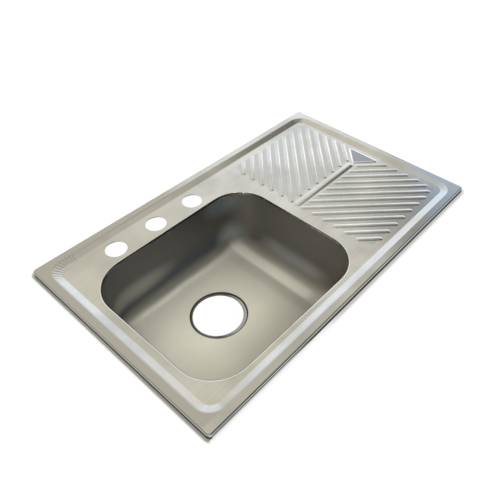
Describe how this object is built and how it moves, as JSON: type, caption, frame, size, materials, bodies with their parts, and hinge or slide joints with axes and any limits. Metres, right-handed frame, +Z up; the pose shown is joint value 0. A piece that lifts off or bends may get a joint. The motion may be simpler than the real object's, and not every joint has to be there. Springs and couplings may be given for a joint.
{
  "type": "kitchen sink with drainboard",
  "caption": "Pressed steel inset kitchen sink with a deep bowl, open tap holes, a recessed drain and a ribbed drainboard, held down by swing-arm clamps under its rim.",
  "frame": {"origin": "centre of the rim's seat, in the plane of the worktop's surface", "axes": "+X along the long side towards the drainboard, +Y towards the tap ledge, +Z up"},
  "size_m": [0.8, 0.5, 0.175],
  "materials": {
    "steel_top": "satin",
    "steel_bowl": "satin",
    "zinc": "zinc plated",
    "foam": "closed-cell foam",
    "bitumen": "matte"
  },
  "bodies": {
    "sink": {"deck": "steel_top", "bowl": "steel_bowl", "rim_seal": "foam", "tap_ledge_plate": "zinc", "drainboard_channel_left": "zinc", "drainboard_channel_right": "zinc", "sound_pad_floor": "bitumen", "sound_pad_front": "bitumen", "sound_pad_back": "bitumen", "sound_pad_drainboard": "bitumen", "stirrup_front_left": "zinc", "stirrup_front_middle": "zinc", "stirrup_front_right": "zinc", "stirrup_back_left": "zinc", "stirrup_back_middle": "zinc", "stirrup_back_right": "zinc", "stirrup_left_side": "zinc", "stirrup_right_side": "zinc"},
    "screw_front_left": {"clamp_screw_front_left": "zinc"},
    "arm_front_left": {"clamp_arm_front_left": "zinc"},
    "screw_front_middle": {"clamp_screw_front_middle": "zinc"},
    "arm_front_middle": {"clamp_arm_front_middle": "zinc"},
    "screw_front_right": {"clamp_screw_front_right": "zinc"},
    "arm_front_right": {"clamp_arm_front_right": "zinc"},
    "screw_back_left": {"clamp_screw_back_left": "zinc"},
    "arm_back_left": {"clamp_arm_back_left": "zinc"},
    "screw_back_middle": {"clamp_screw_back_middle": "zinc"},
    "arm_back_middle": {"clamp_arm_back_middle": "zinc"},
    "screw_back_right": {"clamp_screw_back_right": "zinc"},
    "arm_back_right": {"clamp_arm_back_right": "zinc"},
    "screw_left_side": {"clamp_screw_left_side": "zinc"},
    "arm_left_side": {"clamp_arm_left_side": "zinc"},
    "screw_right_side": {"clamp_screw_right_side": "zinc"},
    "arm_right_side": {"clamp_arm_right_side": "zinc"}
  },
  "joints": [
    {"name": "clamp_travel_front_left", "type": "slide", "parent": "sink", "child": "screw_front_left", "axis": [0, 0, 1], "range_m": [0, 0.018]},
    {"name": "arm_swing_front_left", "type": "hinge", "parent": "screw_front_left", "child": "arm_front_left", "pos_m": [-0.32, -0.224, -0.043], "axis": [0, 0, -1], "range_deg": [0, 90]},
    {"name": "clamp_travel_front_middle", "type": "slide", "parent": "sink", "child": "screw_front_middle", "axis": [0, 0, 1], "range_m": [0, 0.018]},
    {"name": "arm_swing_front_middle", "type": "hinge", "parent": "screw_front_middle", "child": "arm_front_middle", "pos_m": [0.06, -0.224, -0.043], "axis": [0, 0, -1], "range_deg": [0, 90]},
    {"name": "clamp_travel_front_right", "type": "slide", "parent": "sink", "child": "screw_front_right", "axis": [0, 0, 1], "range_m": [0, 0.018]},
    {"name": "arm_swing_front_right", "type": "hinge", "parent": "screw_front_right", "child": "arm_front_right", "pos_m": [0.32, -0.224, -0.043], "axis": [0, 0, -1], "range_deg": [0, 90]},
    {"name": "clamp_travel_back_left", "type": "slide", "parent": "sink", "child": "screw_back_left", "axis": [0, 0, 1], "range_m": [0, 0.018]},
    {"name": "arm_swing_back_left", "type": "hinge", "parent": "screw_back_left", "child": "arm_back_left", "pos_m": [-0.32, 0.224, -0.043], "axis": [0, 0, -1], "range_deg": [0, 90]},
    {"name": "clamp_travel_back_middle", "type": "slide", "parent": "sink", "child": "screw_back_middle", "axis": [0, 0, 1], "range_m": [0, 0.018]},
    {"name": "arm_swing_back_middle", "type": "hinge", "parent": "screw_back_middle", "child": "arm_back_middle", "pos_m": [0.06, 0.224, -0.043], "axis": [0, 0, -1], "range_deg": [0, 90]},
    {"name": "clamp_travel_back_right", "type": "slide", "parent": "sink", "child": "screw_back_right", "axis": [0, 0, 1], "range_m": [0, 0.018]},
    {"name": "arm_swing_back_right", "type": "hinge", "parent": "screw_back_right", "child": "arm_back_right", "pos_m": [0.32, 0.224, -0.043], "axis": [0, 0, -1], "range_deg": [0, 90]},
    {"name": "clamp_travel_left_side", "type": "slide", "parent": "sink", "child": "screw_left_side", "axis": [0, 0, 1], "range_m": [0, 0.018]},
    {"name": "arm_swing_left_side", "type": "hinge", "parent": "screw_left_side", "child": "arm_left_side", "pos_m": [-0.374, 0, -0.043], "axis": [0, 0, -1], "range_deg": [0, 90]},
    {"name": "clamp_travel_right_side", "type": "slide", "parent": "sink", "child": "screw_right_side", "axis": [0, 0, 1], "range_m": [0, 0.018]},
    {"name": "arm_swing_right_side", "type": "hinge", "parent": "screw_right_side", "child": "arm_right_side", "pos_m": [0.374, 0, -0.043], "axis": [0, 0, -1], "range_deg": [0, 90]}
  ]
}
